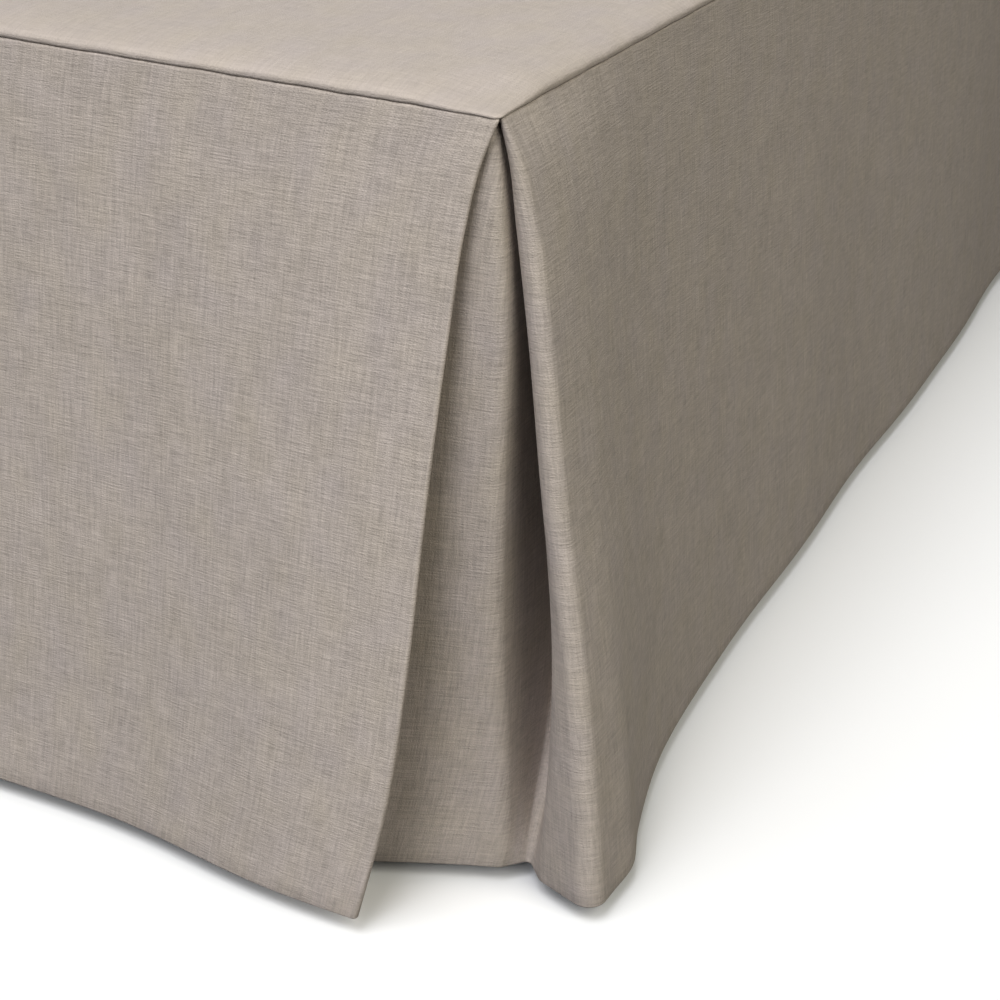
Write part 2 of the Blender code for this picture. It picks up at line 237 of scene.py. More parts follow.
def add_math(tree, operation, first, second=0.0, clamp=False):
    """A sum, product or other step on two numbers."""
    node = add_node(tree, "ShaderNodeMath", {0: first, 1: second}, operation=operation)
    node.use_clamp = clamp
    return node.outputs[0]


def grain(tree, place, size, detail=0.0, shift=0.0):
    """Smooth noise about zero, whose grains are size = (across, down) metres on the cloth."""
    across, down = size
    scale, location = (1 / across, 1 / down, 1.0), (shift, 2 * shift, shift)
    sockets = {"Vector": place, "Scale": scale, "Location": location}
    mapping = add_node(tree, "ShaderNodeMapping", sockets)
    sockets = {"Vector": mapping.outputs[0], "Scale": 1.0, "Detail": detail, "Roughness": 0.6}
    noise = add_node(tree, "ShaderNodeTexNoise", sockets, noise_dimensions="2D")
    return add_math(tree, "SUBTRACT", noise.outputs["Fac"], 0.5)


def solid_noise(tree, place, scale, detail, distortion=0.0):
    """Noise from 0 to 1 in three directions, with scale grains to the unit of its place."""
    sockets = {"Vector": place, "Scale": scale, "Detail": detail, "Distortion": distortion}
    return add_node(tree, "ShaderNodeTexNoise", sockets).outputs["Fac"]


def above(tree, value, low, high):
    """0 below low, 1 above high, and a smooth step between."""
    sockets = {"Value": value, "From Min": low, "From Max": high}
    node = add_node(tree, "ShaderNodeMapRange", sockets, interpolation_type="SMOOTHSTEP")
    return node.outputs["Result"]


def mix_colours(tree, share, first, second, blend="MIX"):
    """Mixes or multiplies two colours. The Mix node keeps its colour sockets at 6 and 7."""
    sockets = {0: share, 6: first, 7: second}
    return add_node(tree, "ShaderNodeMix", sockets, data_type="RGBA", blend_type=blend).outputs[2]


def weighted_sum(tree, terms):
    """Adds up pairs of (pattern, weight)."""
    total = None
    for pattern, weight in terms:
        part = add_math(tree, "MULTIPLY", pattern, weight)
        total = part if total is None else add_math(tree, "ADD", total, part)
    return total


def dress(material, colour, height, strength, distance):
    """Gives a material its colour, and a bump whose height is in units of the distance."""
    tree, sockets = material.node_tree, {"Height": height, "Strength": strength, "Distance": distance}
    bump = add_node(tree, "ShaderNodeBump", sockets)
    tree.links.new(colour, shader_of(material).inputs["Base Color"])
    tree.links.new(bump.outputs["Normal"], shader_of(material).inputs["Normal"])


# %% [markdown]
# ## Linen
#
# Linen is a plain weave of flax, and flax is uneven: each thread has its own tone and swells into slubs
# here and there. Up close the cloth is a fine crosswork of light and dark threads, with short and long
# streaks both ways, small flecks and a slow mottling over all. A picture could carry this, but noise
# stretched along the two thread directions gives the same look at any size and never repeats. The
# patterns read a UV map in metres, so the threads follow every fold.

# %% Linen
THREAD = 0.0007  # pitch of the weave
LINEN_TONE = (0.470, 0.417, 0.374)
WARP_STREAKS = ((0.0009, 0.010, 0.19), (0.0018, 0.026, 0.16))  # across, down, weight
WEFT_STREAKS = ((0.009, 0.0008, 0.22), (0.030, 0.0014, 0.16))
MOTTLE, SLUBS, FLECKS, HUES = (0.030, 0.045), (0.0022, 0.020), (0.0016, 0.0016), (0.022, 0.034)
COOL_TINT, WARM_TINT = (0.992, 0.990, 1.025, 1), (1.010, 1.004, 0.972, 1)
WEAVE_RELIEF = 0.00016  # depth of the weave, seam to crest
DECK_PAINTED_LIGHT_CONTRAST = 0.5  # painted light: the deck's weave gets half the tone contrast, standing in for the flatter look that light from above gives it


def streaks(tree, place, sizes, shift):
    """Threads that differ in tone: one stretched noise for each (across, down, weight)."""
    return [
        (grain(tree, place, size, shift=shift + k), weight) for k, (*size, weight) in enumerate(sizes)
    ]


def make_linen(name, contrast):
    """The cloth's look; contrast scales its threads' tone, and below 1 it paints in the flatter look of
    top light.
    """
    linen = new_material(name, 0.9)
    tree = linen.node_tree
    place = add_node(tree, "ShaderNodeUVMap", uv_map="weave").outputs["UV"]

    warp = streaks(tree, place, WARP_STREAKS, 3.1)
    weft = streaks(tree, place, WEFT_STREAKS, 7.7)
    crossings = grain(tree, place, (THREAD, THREAD), detail=1.0, shift=1.3)
    mottle = grain(tree, place, MOTTLE, detail=2.0, shift=5.2)
    slub_field = grain(tree, place, SLUBS, detail=1.0, shift=9.4)
    light_slub = above(tree, slub_field, 0.14, 0.24)
    dark_slub = above(tree, add_math(tree, "MULTIPLY", slub_field, -1.0), 0.15, 0.25)
    fleck = above(tree, grain(tree, place, FLECKS, shift=11.9), 0.25, 0.32)

    details = [(crossings, 0.28), (mottle, 0.14), (light_slub, 0.04), (dark_slub, -0.04), (fleck, -0.08)]
    unevenness = add_math(tree, "MULTIPLY", weighted_sum(tree, warp + weft + details), contrast)
    brightness = add_math(tree, "ADD", unevenness, 1.0)
    hue = add_math(tree, "MULTIPLY", grain(tree, place, HUES, detail=1.0, shift=14.6), 1.2)
    warm_share = add_math(tree, "ADD", hue, 0.5, clamp=True)
    tint = mix_colours(tree, warm_share, COOL_TINT, WARM_TINT)
    dyed = mix_colours(tree, 1.0, (*LINEN_TONE, 1), tint, blend="MULTIPLY")
    sockets = {"Vector": dyed, "Scale": brightness}
    woven = add_node(tree, "ShaderNodeVectorMath", sockets, operation="SCALE").outputs["Vector"]

    relief = weighted_sum(tree, [(warp[0][0], 0.8), (weft[0][0], 0.8), (crossings, 1.6)])
    dress(linen, woven, relief, 0.8, WEAVE_RELIEF)
    shader = shader_of(linen)
    shader.inputs["Specular IOR Level"].default_value = 0.25
    shader.inputs["Sheen Weight"].default_value = 0.06
    shader.inputs["Sheen Roughness"].default_value = 0.5
    return linen


linen = make_linen("linen", 1.0)
# The deck's copy paints in light: its threads differ half as much in tone, for the flatter look of light
# from above.
deck_linen_painted_top_light = make_linen("deck linen painted for top light", DECK_PAINTED_LIGHT_CONTRAST)
print("linen nodes:", len(linen.node_tree.nodes))

# %% [markdown]
# ## Sheets from grids
#
# Each piece of cloth is a grid of points, rows by columns, with a UV map that gives every point its
# place on the flat cloth. One helper turns such a grid into a mesh, and a Solidify modifier gives it the
# cloth's thickness, half to each side. The grid is worked out as whole arrays, so there is no loop over
# points. The base and the legs are solid, and their grids close on themselves.

# %% Sheets from grids
LINEN_THICKNESS = 0.00065


def grid_quads(rows, columns):
    """The four corners of every cell, counted row by row."""
    first = (np.arange(rows - 1)[:, None] * columns + np.arange(columns - 1)).ravel()
    return np.stack([first, first + columns, first + columns + 1, first + 1], axis=1)


def closed_faces(rows, columns):
    """The faces of a stack of closed rings that run anticlockwise, and one face at each end."""
    grid = np.arange(rows * columns).reshape(rows, columns)
    after = np.roll(grid, -1, axis=1)
    sides = np.stack([after[:-1], after[1:], grid[1:], grid[:-1]], axis=2)
    return sides.reshape(-1, 4).tolist() + [grid[0, ::-1].tolist(), grid[-1].tolist()]


def new_piece(name, points, faces, uv=None):
    """A smooth mesh object with its place in its points, and a UV map in metres if there is one."""
    mesh = bpy.data.meshes.new(name)
    mesh.from_pydata(points.tolist(), [], faces)
    if uv is not None:
        corners = np.empty(len(mesh.loops), dtype=np.int32)
        mesh.loops.foreach_get("vertex_index", corners)
        mesh.uv_layers.new(name="weave").data.foreach_set("uv", uv[corners].ravel())
    mesh.shade_smooth()
    piece = bpy.data.objects.new(name, mesh)
    bpy.context.scene.collection.objects.link(piece)
    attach(piece, "root")
    return piece


def thicken(piece, thickness):
    """Gives a sheet its thickness, half to each side."""
    modifier = piece.modifiers.new("thickness", "SOLIDIFY")
    modifier.thickness = thickness
    modifier.offset = 0.0


# %% [markdown]
# ## The pleat's pegs
#
# A pleat looks free, but it is one strip of cloth led round a few soft folds. So its plan at any height
# is worked out as a belt led round pegs. Each fold is a peg with a place and a radius. The pegs drift
# apart from the seam, where all layers are sewn flat, down to the hem, where the pleat stands open. The
# foot drop has one peg, its pressed crease. The side drop has four: its soft round fold, the fold's
# shoulder that faces the pleat, the deep valley behind it, and the turn where it comes forward again as
# the underlay. Sculpting or a simulation would give folds too, but not these ones: the pegs place each
# fold to the millimetre.

# %% The pleat's pegs
# In mm from the seam's corner: out from the face that the drop hangs on, and back along that face.
SHARES = np.array((0.00, 0.05, 0.12, 0.25, 0.45, 0.65, 0.85, 1.00))
PEGS = {
    "crease": {
        "out": (-1.5, 0.9, 4.3, 10.6, 20.2, 29.8, 39.5, 46.6),
        "back": (1.9, 8.3, 13.1, 17.0, 21.2, 24.0, 30.0, 40.6),
        "radius": (0.85, 0.9, 1.0, 1.1, 1.3, 1.5, 1.7, 1.9),
    },
    "fold": {
        "out": (-1.5, 3.8, 8.3, 16.0, 26.2, 38.0, 46.8, 52.0),
        "back": (4.8, 9.5, 13.5, 15.2, 16.5, 17.5, 19.0, 20.0),
        "radius": (0.85, 2.9, 4.9, 5.6, 6.2, 6.9, 8.4, 9.4),
    },
    "shoulder": {
        "out": (-1.55, 3.76, 8.2, 15.7, 25.3, 36.2, 41.5, 32.5),
        "back": (7.8, 12.5, 16.5, 18.2, 19.4, 21.7, 28.5, 28.0),
        "radius": (0.85, 2.9, 4.9, 5.6, 6.2, 9.5, 15.8, 10.0),
    },
    "valley": {
        "out": (-3.2, -1.6, 0.0, 2.6, 6.0, 10.5, 13.8, 15.8),
        "back": (98.0, 97.0, 96.0, 95.0, 92.0, 82.0, 55.0, 26.5),
        "radius": (0.85, 1.2, 1.6, 2.6, 4.2, 5.2, 4.3, 3.4),
    },
    "turn": {
        "out": (-10.0, -6.6, -4.2, -2.6, -4.7, -7.0, -4.5, -0.5),
        "back": (10.0, 7.6, 7.4, 9.5, 14.0, 21.0, 27.8, 27.7),
        "radius": (6.0, 4.4, 4.6, 5.9, 7.4, 9.4, 10.0, 9.3),
    },
}


def glide(values, share):
    """Smooth curve through the pegs' values: on each stretch, the cubic that meets both slopes."""
    values = np.array(values) * MM
    slopes = np.gradient(values, SHARES)
    i = np.clip(np.searchsorted(SHARES, share, side="right") - 1, 0, len(SHARES) - 2)
    width = SHARES[i + 1] - SHARES[i]
    f = (share - SHARES[i]) / width
    return (
        values[i] * (1 + 2 * f) * (1 - f) ** 2
        + values[i + 1] * f**2 * (3 - 2 * f)
        + width * (slopes[i] * f * (1 - f) ** 2 - slopes[i + 1] * f**2 * (1 - f))
    )


def peg(name, share):
    """One fold at every row: out, back and radius."""
    return np.stack([glide(PEGS[name][part], share) for part in ("out", "back", "radius")], axis=1)


def point_peg(out, back):
    """A peg with no radius: where a belt starts or ends."""
    return np.stack([out, back, np.zeros_like(out)], axis=1)


def left_of(heading):
    """The unit vector a quarter turn anticlockwise from a heading."""
    return np.stack([-np.sin(heading), np.cos(heading)], axis=-1)


# %% [markdown]
# ## The belt
#
# Between two pegs the cloth is taut, so it runs along their common tangent. Round a peg it is an arc.
# The function below strings both together for all rows at once.

# %% The belt
ANTICLOCKWISE, CLOCKWISE = 1, -1
BACKWARD_TURN = 1.75 * math.pi  # a turn past this is a slight turn back, not nearly a whole one


def belt(pegs, senses, arc_steps, run_steps):
    """The path of a belt round pegs, one path per row, which starts where its first run ends.

    The heading of a run is the bearing from peg to peg less asin((s2 r2 - s1 r1) / distance), with
    s = 1 for a peg passed anticlockwise and -1 clockwise. On a peg the path is
    centre - s r left(heading), while the heading turns from run to run.
    """
    headings = []
    for (a, s1), (b, s2) in zip(zip(pegs, senses), zip(pegs[1:], senses[1:])):
        step = b[:, :2] - a[:, :2]
        bearing = np.arctan2(step[:, 1], step[:, 0])
        lean = np.arcsin((s2 * b[:, 2] - s1 * a[:, 2]) / np.hypot(step[:, 0], step[:, 1]))
        headings.append(bearing - lean)
    pieces = []
    for j in range(1, len(pegs) - 1):
        turn = (senses[j] * (headings[j] - headings[j - 1])) % (2 * math.pi)
        turn = senses[j] * np.where(turn > BACKWARD_TURN, turn - 2 * math.pi, turn)
        part = np.linspace(0, 1, arc_steps[j - 1] + 1)
        heading = headings[j - 1][:, None] + turn[:, None] * part
        centre, radius = pegs[j][:, None, :2], pegs[j][:, None, 2:]
        pieces.append(centre - senses[j] * radius * left_of(heading))
    path = [pieces[0]]
    for piece, steps in zip(pieces[1:] + [pegs[-1][:, None, :2]], run_steps):
        start, end = path[-1][:, -1:], piece[:, :1]
        part = np.linspace(0, 1, steps + 1)[1:-1, None]
        path += [start + (end - start) * part, piece]
    return np.concatenate(path, axis=1)


# %% [markdown]
# ## The plain panels
#
# Between its folds a drop hangs as a plain panel that flares a little towards the hem. Near a pleat it
# does two more things. It bulges outwards, because the pleat pushes it out, and its threads swing with
# the fold, a pull that dies away within a hand's breadth or two. Long, slow waves keep it from looking
# like board.

# %% The plain panels
FLARE = 0.035  # how far the drops stand out at the hem
SWING_REACH = 0.230  # how far along a panel the pull of its pleat is felt
NEAR_SHARE = 0.3  # columns near the fold are this much closer than even ones
WAVES = (
    {"height": 0.0016, "length": 0.61, "shift": 0.13},
    {"height": 0.0011, "length": 0.37, "shift": 0.29},
    {"height": 0.0007, "length": 0.23, "shift": 0.05},
)
WAVE_FADE = 0.160  # the waves die away over this length before a fold
FOOT_BULGE = {"reach": 0.105, "power": 3.0}
SIDE_BULGE = {"reach": 0.100, "power": 2.1}
KNEE = {"height": 0.0036, "place": 0.032, "width": 0.018, "power": 3.0}  # a soft ridge beside the fold
NO_KNEE = {"height": 0.0, "place": 0.0, "width": 1.0, "power": 1.0}


def panel(far, tangent, share, columns, bulge, knee, wave_line):
    """The plain panel, from its far end up to the first fold's tangent point.

    Distance from the fold d = d0 - swing (1 - exp(-d0 / SWING_REACH)), where swing is how much nearer
    the far end is than at the seam. The panel leaves the straight line to the fold by
    height (exp(-(d / reach) ** power) - 1 + d / length), so it stands out only near the fold.
    """
    away = far - tangent
    length = np.hypot(away[:, 0], away[:, 1])[:, None]
    t = np.linspace(1, 0, columns + 1)[:-1]
    d0 = length[0] * (NEAR_SHARE * t + (1 - NEAR_SHARE) * t**3)
    d = d0 - (length[0] - length) * (1 - np.exp(-d0 / SWING_REACH))
    d[:, 0] = length[:, 0]
    line = tangent[:, None] + (away / length)[:, None] * d[..., None]
    height = (tangent - far)[:, :1]
    off = height * (np.exp(-((d / bulge["reach"]) ** bulge["power"])) - 1 + d / length)
    wave_start, wave_sense = wave_line
    for wave in WAVES:
        phase = 2 * math.pi * (wave_sense * line[..., 1] + wave_start + wave["shift"]) / wave["length"]
        off += wave["height"] * share[:, None] * np.sin(phase) * (1 - np.exp(-((d / WAVE_FADE) ** 2)))
    ridge = np.exp(-(((d - knee["place"]) / knee["width"]) ** 2))
    off += knee["height"] * share[:, None] ** knee["power"] * ridge
    line[..., 0] += off
    return line


# %% [markdown]
# ## The paths of the drops
#
# The foot drop runs from its middle to the crease and turns back behind itself. The side drop runs from
# the head end to its fold, dips deep into the pleat and comes forward again as the underlay, which
# carries on behind the foot drop and is sewn to the end of the foot drop's return, out of sight.

# %% The paths of the drops
SOLID_CLOTH = 0.0012  # the solids' cloth; the finer sheets keep its middle line
RETURN = 0.098  # width of the foot drop's return, from its crease to the hidden join
LAYER_PITCH = 0.0017  # from one layer of pressed cloth to the next
JOIN_SLACK = 0.0006  # the underlay stands this much further off the return at the hem
RETURN_PULL = 0.012  # the return's end stands back this far from the foot panel at the hem
UNDERLAY_BOW = 0.007  # the underlay bows outwards this far at the hem
BOW_PEAK = 4 / 27  # the most that p^2 (1 - p) reaches, two thirds of the way along

FOOT_COLUMNS, CREASE_STEPS, RETURN_STEPS = 150, 14, 26
SIDE_COLUMNS, FOLD_STEPS, SHOULDER_STEPS, VALLEY_STEPS, TURN_STEPS = 270, 22, 16, 14, 18
SHOULDER_RUN_STEPS, FLANK_STEPS, SLOT_STEPS, UNDERLAY_STEPS = 6, 22, 18, 44


def panel_end(share, back):
    """The far end of a panel at every row: out by the flare, and this far back."""
    return np.stack([FLARE * share - SOLID_CLOTH / 2, np.full_like(share, back)], axis=1)


def foot_half(share, wave_line):
    """The foot drop from its middle to the end of its return: out and back from the corner."""
    crease = peg("crease", share)
    end_out = crease[:, 0] - crease[:, 2] - RETURN_PULL * share
    end_back = crease[:, 1] + np.sqrt(RETURN**2 - (RETURN_PULL * share) ** 2)
    far = panel_end(share, SEAM_X)
    pegs = [point_peg(*far.T), crease, point_peg(end_out, end_back)]
    fold = belt(pegs, (0, CLOCKWISE, 0), (CREASE_STEPS,), (RETURN_STEPS,))
    plain = panel(far, fold[:, 0], share, FOOT_COLUMNS, FOOT_BULGE, NO_KNEE, wave_line)
    return np.concatenate([plain, fold], axis=1)


def side_path(share, wave_line):
    """A side drop from the head end to the hidden end of its underlay: out and back from the corner.

    The underlay bows outwards by p^2 (1 - p), where p goes from 0 at the turn to 1 at the join.
    """
    join = foot_half(share, (0.0, 1))[:, -1]
    far = panel_end(share, SIDE_LENGTH)
    pegs = [
        point_peg(*far.T),
        peg("fold", share),
        peg("shoulder", share),
        peg("valley", share),
        peg("turn", share),
        point_peg(-join[:, 1], -join[:, 0] + LAYER_PITCH + JOIN_SLACK * share),
    ]
    senses = (0, CLOCKWISE, CLOCKWISE, ANTICLOCKWISE, CLOCKWISE, 0)
    arcs = (FOLD_STEPS, SHOULDER_STEPS, VALLEY_STEPS, TURN_STEPS)
    runs = (SHOULDER_RUN_STEPS, FLANK_STEPS, SLOT_STEPS, UNDERLAY_STEPS)
    fold = belt(pegs, senses, arcs, runs)
    part = np.linspace(0, 1, UNDERLAY_STEPS + 1)
    bow = UNDERLAY_BOW * share[:, None] * part**2 * (1 - part) / BOW_PEAK
    fold[:, -len(part) :, 1] -= bow
    plain = panel(far, fold[:, 0], share, SIDE_COLUMNS, SIDE_BULGE, KNEE, wave_line)
    return np.concatenate([plain, fold], axis=1)


# %% [markdown]
# ## Rows of a drop
#
# Down the cloth there are four stretches. At the seam the cloth turns inwards round a small quarter
# circle, which makes the groove that reads as the seam line. The drop itself follows. At the bottom the
# cloth bends round and goes up again on the inside, as a hem does. A row is told by its depth below the
# seam, how far it is tucked in, how far it has gone round the hem, and its place on the flat cloth.

# %% Rows of a drop
LIP = 0.00038  # the turned edge stays this far from the seam's plane
TUCK = 0.0008  # radius of the turned edge
TUCK_ROWS, MAIN_ROWS, BEND_ROWS, HEM_ROWS = 6, 72, 6, 8
ROW_SHARE, ROW_POWER = 0.25, 1.7  # rows crowd towards the seam: share t + (1 - share) t^power
HEM_BEND = 0.00075  # radius of the bend at the bottom of a drop
HEM_WIDTH = 0.045
bend_depth = DROP - LINEN_THICKNESS / 2 - HEM_BEND


def drop_rows():
    """Depth, tuck, turned share and cloth place of every row."""
    quarter = np.linspace(math.pi / 2, 0, TUCK_ROWS + 1)[:-1]
    t = np.linspace(0, 1, MAIN_ROWS + 1)
    graded = ROW_SHARE * t + (1 - ROW_SHARE) * t**ROW_POWER
    main = LIP + TUCK + (bend_depth - LIP - TUCK) * graded
    half = np.linspace(0, math.pi, BEND_ROWS + 1)[1:]
    up = np.linspace(0, HEM_WIDTH, HEM_ROWS + 1)[1:]
    edge, bend = LIP + TUCK * (1 - np.sin(quarter)), bend_depth + HEM_BEND * np.sin(half)
    depth = np.concatenate([edge, main, bend, bend_depth - up])
    tuck = np.concatenate([TUCK * (1 - np.cos(quarter)), np.zeros(len(depth) - len(quarter))])
    above_bend = np.zeros(len(quarter) + len(main))
    turned = np.concatenate([above_bend, (1 - np.cos(half)) / 2, np.ones(len(up))])
    edge, bend = LIP + TUCK * (1 - quarter), bend_depth + HEM_BEND * half
    place = np.concatenate([edge, main, bend, bend_depth + HEM_BEND * math.pi + up])
    return depth, tuck, turned, place


depth, tuck, turned, cloth_place = drop_rows()
share_of_row = depth / DROP
print(len(depth), "rows a drop, hem turned up", round(HEM_WIDTH / MM), "mm")

# %% [markdown]
# ## Small unevenness
#
# A sewn edge is never quite straight. The seam rises and falls by a tenth of a millimetre or two, the
# cloth puckers a little next to it, and the weight of the pleat pulls the foot seam down right at the
# corner. The deck and the drops share these functions, so the seam stays closed.

# %% Small unevenness
SEAM_RIPPLES = ((0.00012, 0.047, 0.3), (0.00009, 0.026, 1.9), (0.00006, 0.013, 4.1))
PUCKERS = ((0.00010, 0.019, 0.7), (0.00008, 0.011, 2.6), (0.00005, 0.007, 5.0))
PUCKER_REACH = 0.012
CORNER_DIP = 0.0012
DIP_ALONG_FOOT, DIP_ALONG_SIDE = 0.006, 0.002


def ripple(place, ripples):
    """The sum of a few sine waves: (height, length, phase) each."""
    return sum(h * np.sin(2 * math.pi * place / length + phase) for h, length, phase in ripples)


def seam_rise(x, y):
    """How far the seam stands above its level at a place on its line."""
    from_side = np.abs(SEAM_X - np.abs(x))
    from_foot = np.abs(y - FOOT_Y)
    dip = np.exp(-from_side / DIP_ALONG_FOOT - from_foot / DIP_ALONG_SIDE)
    return ripple(np.abs(x) + y, SEAM_RIPPLES) - CORNER_DIP * dip


# %% [markdown]
# ## Hanging a drop
#
# A drop is its plan carried down, row by row. Two things are added along the cloth's outward normal in
# plan: the turned edges inwards, and the small relief outwards.

# %% Hanging a drop
SEAM_RISE_REACH = 0.010


def outward(path):
    """Unit normals of each row's path, to the left of its run, which is the cloth's outer side."""
    along = np.gradient(path, axis=1)
    along /= np.linalg.norm(along, axis=2, keepdims=True)
    return np.stack([-along[..., 1], along[..., 0]], axis=2)


def hang(path, tuck_share, relief, turn_width=2 * HEM_BEND):
    """Moves the rows of a path in at the seam and the hem, and out by the relief."""
    inwards = tuck[:, None] * tuck_share + turned[:, None] * turn_width
    return path + outward(path) * (relief - inwards)[..., None]


def mean_run(path):
    """Each column's distance along the cloth, as the mean over the rows."""
    step = np.linalg.norm(np.diff(path, axis=1), axis=2)
    return np.concatenate([[0.0], np.cumsum(step.mean(axis=0))])


def drop_piece(name, plan, run, node, outer_first):
    """Makes the sheet from world (x, y) for every row and column."""
    rise = seam_rise(plan[..., 0], plan[..., 1]) * np.exp(-depth / SEAM_RISE_REACH)[:, None]
    z = SEAM_Z - depth[:, None] + rise
    points = np.concatenate([plan, z[..., None]], axis=2).reshape(-1, 3)
    rows, columns, _ = plan.shape
    run = np.broadcast_to(run, (rows, columns))
    uv = np.stack([run, np.broadcast_to(-cloth_place[:, None], run.shape)], axis=2).reshape(-1, 2)
    faces = grid_quads(rows, columns)[:, :: 1 if outer_first else -1].tolist()
    piece = new_piece(name, points, faces, uv)
    thicken(piece, LINEN_THICKNESS)
    piece.data.materials.append(linen)
    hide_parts(node)
    return piece


# %% [markdown]
# ## The foot drop
#
# The two halves of the foot drop are the same path, one of them mirrored, and the waves run on from one
# half to the other.

# %% The foot drop
FOOT_WAVE_START = 0.6
PANEL_TUCK_FOOT = np.concatenate(
    [np.ones(FOOT_COLUMNS), np.linspace(1, 0, CREASE_STEPS + 1), np.zeros(RETURN_STEPS)]
)


def foot_relief(path):
    """Puckers along the seam, which die away down the drop and are left out of the return."""
    pucker = ripple(path[..., 1], PUCKERS) * np.exp(-depth / PUCKER_REACH)[:, None]
    return pucker * PANEL_TUCK_FOOT


foot_right = foot_half(share_of_row, (FOOT_WAVE_START, 1))
foot_left = foot_half(share_of_row, (FOOT_WAVE_START + 2 * SEAM_X, -1))
foot_run = mean_run(foot_right)
halves = [hang(half, PANEL_TUCK_FOOT, foot_relief(half)) for half in (foot_right, foot_left)]
right_plan = np.stack([SEAM_X - halves[0][..., 1], FOOT_Y - halves[0][..., 0]], axis=2)
left_plan = np.stack([halves[1][..., 1] - SEAM_X, FOOT_Y - halves[1][..., 0]], axis=2)
middle = (right_plan[:, :1] + left_plan[:, :1]) / 2
foot_plan = np.concatenate([left_plan[:, :0:-1], middle, right_plan[:, 1:]], axis=1)
whole_run = np.concatenate([-foot_run[:0:-1], foot_run])
foot_drop = drop_piece("foot_drop_cloth", foot_plan, whole_run, "foot_drop", True)
print("foot drop:", foot_plan.shape[:2], "flat width", round(2 * foot_run[-1], 3), "m")

# %% [markdown]
# ## The side drops
#
# At the head end a side drop has a hem of its own, turned in before the bottom hem is turned up. The
# threads follow the panel as far as the fold and the underlay from its hidden end. What the cloth gains
# or loses between the two is taken up deep in the slot, where it doesn't show.

# %% The side drops
HEAD_HEM = 0.015
HEAD_BEND_STEPS, HEAD_HEM_STEPS = 6, 3
WRINKLES = ((0.00016, 0.0125, 0.4), (0.00012, 0.0083, 2.2), (0.00010, 0.0210, 4.4))
WRINKLE_LEAN = 0.12
WRINKLE_START = 0.04  # the wrinkles reach their height this far below the seam
HEAD_FOLD = 3 * HEM_BEND  # over the head hem's two layers, the bottom hem is folded at this plane
RIGHT_WAVE_START, LEFT_WAVE_START = 0.5, 0.7

front_columns = FOLD_STEPS + SHOULDER_RUN_STEPS + SHOULDER_STEPS
fold_columns = front_columns + FLANK_STEPS + VALLEY_STEPS + SLOT_STEPS + TURN_STEPS + UNDERLAY_STEPS
PANEL_TUCK_SIDE = np.concatenate(
    [np.ones(SIDE_COLUMNS), np.linspace(1, 0, FOLD_STEPS + 1), np.zeros(fold_columns - FOLD_STEPS)]
)
underlay_share = np.zeros(SIDE_COLUMNS + fold_columns + 1)
underlay_share[-UNDERLAY_STEPS:] = np.sin(np.linspace(0, math.pi, UNDERLAY_STEPS)) ** 0.5


def side_run(path):
    """Distance along the cloth: the same on every row of the panel, and true to the row in the pleat."""
    step = np.linalg.norm(np.diff(path, axis=1), axis=2)
    run = np.concatenate([np.zeros((len(path), 1)), np.cumsum(step, axis=1)], axis=1)
    steady = run.mean(axis=0)
    from_fold = run - run[:, SIDE_COLUMNS : SIDE_COLUMNS + 1] + steady[SIDE_COLUMNS]
    from_join = run - run[:, -1:] + steady[-1]
    flank_end = SIDE_COLUMNS + front_columns + FLANK_STEPS
    slot_end = flank_end + VALLEY_STEPS + SLOT_STEPS
    change = np.clip((np.arange(path.shape[1]) - flank_end) / (slot_end - flank_end), 0, 1)
    pleat = from_fold * (1 - change) + from_join * change
    return np.where(np.arange(path.shape[1]) < SIDE_COLUMNS, steady, pleat)


def side_relief(path, run):
    """Puckers along the panel's seam, and level, slightly leaning wrinkles on the underlay."""
    pucker = ripple(path[..., 1], PUCKERS) * np.exp(-depth / PUCKER_REACH)[:, None]
    drag = ripple(depth[:, None] + WRINKLE_LEAN * run, WRINKLES)
    drag *= np.minimum(1, depth / WRINKLE_START)[:, None]
    return pucker * PANEL_TUCK_SIDE + drag * underlay_share


def with_head_hem(path):
    """The path with its head end turned in: a run inside, then a half circle round to the outer side."""
    end = path[:, :1]
    half = np.linspace(math.pi, 0, HEAD_BEND_STEPS + 1)[:-1]
    bend = end + HEM_BEND * np.stack([np.cos(half) - 1, np.sin(half)], axis=1)
    inside = np.linspace(-HEAD_HEM, 0, HEAD_HEM_STEPS + 1)[:-1]
    run = end + np.stack([np.full_like(inside, -2 * HEM_BEND), inside], axis=1)
    return np.concatenate([run, bend, path], axis=1)


def side_turn_width(path):
    """How far the bottom hem stands in, column by column.

    Next to the head end it goes up over the head hem's two layers, so each point is mirrored at a plane
    three hem bends in, and further on at a plane one bend in.
    """
    from_head = SIDE_LENGTH - path[..., 1]
    ease = np.clip((from_head - HEAD_HEM) / HEAD_HEM, 0, 1)
    return 2 * HEM_BEND * (3 - 2 * ease**2 * (3 - 2 * ease))


